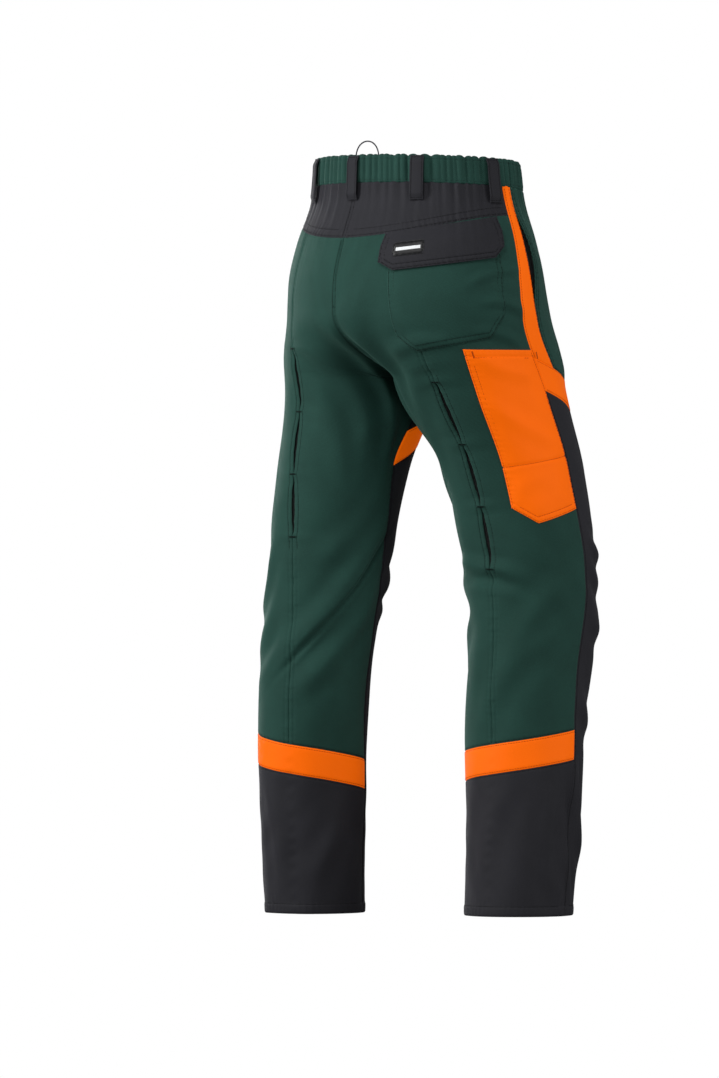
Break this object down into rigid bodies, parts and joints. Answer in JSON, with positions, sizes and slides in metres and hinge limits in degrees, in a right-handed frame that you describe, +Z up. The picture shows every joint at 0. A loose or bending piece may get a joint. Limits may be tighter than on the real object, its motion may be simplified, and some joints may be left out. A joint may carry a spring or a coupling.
{
  "type": "chainsaw protective trousers",
  "caption": "Forestry trousers with cut protection in the legs, gathered waistband, belt loops, vented back seams, pockets and bending knees.",
  "frame": {"origin": "centre of the waist opening, level with the waistband's upper edge (2 mm below it at the side seams), where the wearer's waist holds the trousers up", "axes": "+Z up along the legs, -Y the way the wearer faces, +X the wearer's left"},
  "size_m": [0.4237, 0.3785, 1.0866],
  "materials": {
    "green_twill": "matt woven twill, dark green",
    "dark_stretch": "matt woven stretch cloth, anthracite",
    "orange_twill": "matt woven cloth, signal orange",
    "mesh": "open knitted mesh, dark",
    "lining": "thin lining cloth, grey",
    "protection": "layers of long loose fibre, off-white",
    "elastic": "woven elastic",
    "zip_tape": "woven tape with moulded teeth",
    "zip_metal": "satin, dark nickel",
    "stud_metal": "satin, dark nickel",
    "label": "woven label, plain",
    "cord": "thin braided cord"
  },
  "bodies": {
    "waist_and_thighs": {"waistband": "green_twill", "waist_elastic": "elastic", "belt_loop_centre_back": "dark_stretch", "belt_loop_left_back": "dark_stretch", "belt_loop_right_back": "dark_stretch", "belt_loop_left_side": "dark_stretch", "belt_loop_right_side": "dark_stretch", "belt_loop_left_front": "dark_stretch", "belt_loop_right_front": "dark_stretch", "left_yoke": "dark_stretch", "left_front_hip": "green_twill", "left_pocket_strip": "orange_twill", "left_pocket_bag": "lining", "left_thigh_gusset": "dark_stretch", "left_thigh_band": "orange_twill", "left_back_outer_upper": "green_twill", "left_back_inner_upper": "green_twill", "left_vent_mesh": "mesh", "left_front_leg_upper": "dark_stretch", "left_cut_protection_upper": "protection", "left_knee_back": "green_twill", "right_yoke": "dark_stretch", "right_front_hip": "green_twill", "right_pocket_strip": "orange_twill", "right_pocket_bag": "lining", "right_thigh_gusset": "dark_stretch", "right_thigh_band": "orange_twill", "right_back_outer_upper": "green_twill", "right_back_inner_upper": "green_twill", "right_vent_mesh": "mesh", "right_front_leg_upper": "dark_stretch", "right_cut_protection_upper": "protection", "right_knee_back": "green_twill", "back_pocket": "green_twill", "thigh_pocket_upper": "orange_twill", "thigh_pocket_lower": "orange_twill", "fly_cover": "green_twill", "fly_shield": "green_twill", "zip_tape_left": "zip_tape", "zip_tape_right": "zip_tape", "press_stud_post": "stud_metal"},
    "left_lower_leg": {"left_back_outer_lower": "green_twill", "left_back_inner_lower": "green_twill", "left_front_leg_lower": "dark_stretch", "left_cut_protection_lower": "protection", "left_calf_band": "orange_twill", "left_lower_back": "dark_stretch"},
    "right_lower_leg": {"right_back_outer_lower": "green_twill", "right_back_inner_lower": "green_twill", "right_front_leg_lower": "dark_stretch", "right_cut_protection_lower": "protection", "right_calf_band": "orange_twill", "right_lower_back": "dark_stretch"},
    "pocket_flap": {"back_pocket_flap": "dark_stretch", "flap_label": "label"},
    "slider": {"zip_slider": "zip_metal"},
    "pull": {"zip_pull": "zip_metal"},
    "tab": {"waist_tab": "green_twill", "press_stud_cap": "stud_metal"},
    "hang_loop": {"hanging_loop": "cord"}
  },
  "joints": [
    {"name": "left_knee", "type": "hinge", "parent": "waist_and_thighs", "child": "left_lower_leg", "pos_m": [0.11633, 0.066, -0.6], "axis": [0.9397, 0.342, 0], "range_deg": [0, 75], "deforming": ["left_knee_back"]},
    {"name": "right_knee", "type": "hinge", "parent": "waist_and_thighs", "child": "right_lower_leg", "pos_m": [-0.11633, -0.112, -0.6], "axis": [1, 0, 0], "range_deg": [0, 75], "deforming": ["right_knee_back"]},
    {"name": "flap_hinge", "type": "hinge", "parent": "waist_and_thighs", "child": "pocket_flap", "pos_m": [-0.151, 0.0894, -0.0886], "axis": [0.678, 0.7224, -0.1358], "range_deg": [0, 100]},
    {"name": "zip_travel", "type": "slide", "parent": "waist_and_thighs", "child": "slider", "axis": [0, -0.2683, -0.9633], "range_m": [0, 0.095]},
    {"name": "pull_swing", "type": "hinge", "parent": "slider", "child": "pull", "pos_m": [0, -0.12352, -0.06288], "axis": [-1, 0, 0], "range_deg": [0, 5]},
    {"name": "tab_hinge", "type": "hinge", "parent": "waist_and_thighs", "child": "tab", "pos_m": [0.038, -0.1207, -0.035], "axis": [0, 0, 1], "range_deg": [0, 88]},
    {"name": "loop_fold", "type": "hinge", "parent": "waist_and_thighs", "child": "hang_loop", "pos_m": [-0.011, 0.11, 0.0025], "axis": [1, 0, 0], "range_deg": [0, 120], "stiffness_Nm_per_rad": 0.002}
  ]
}
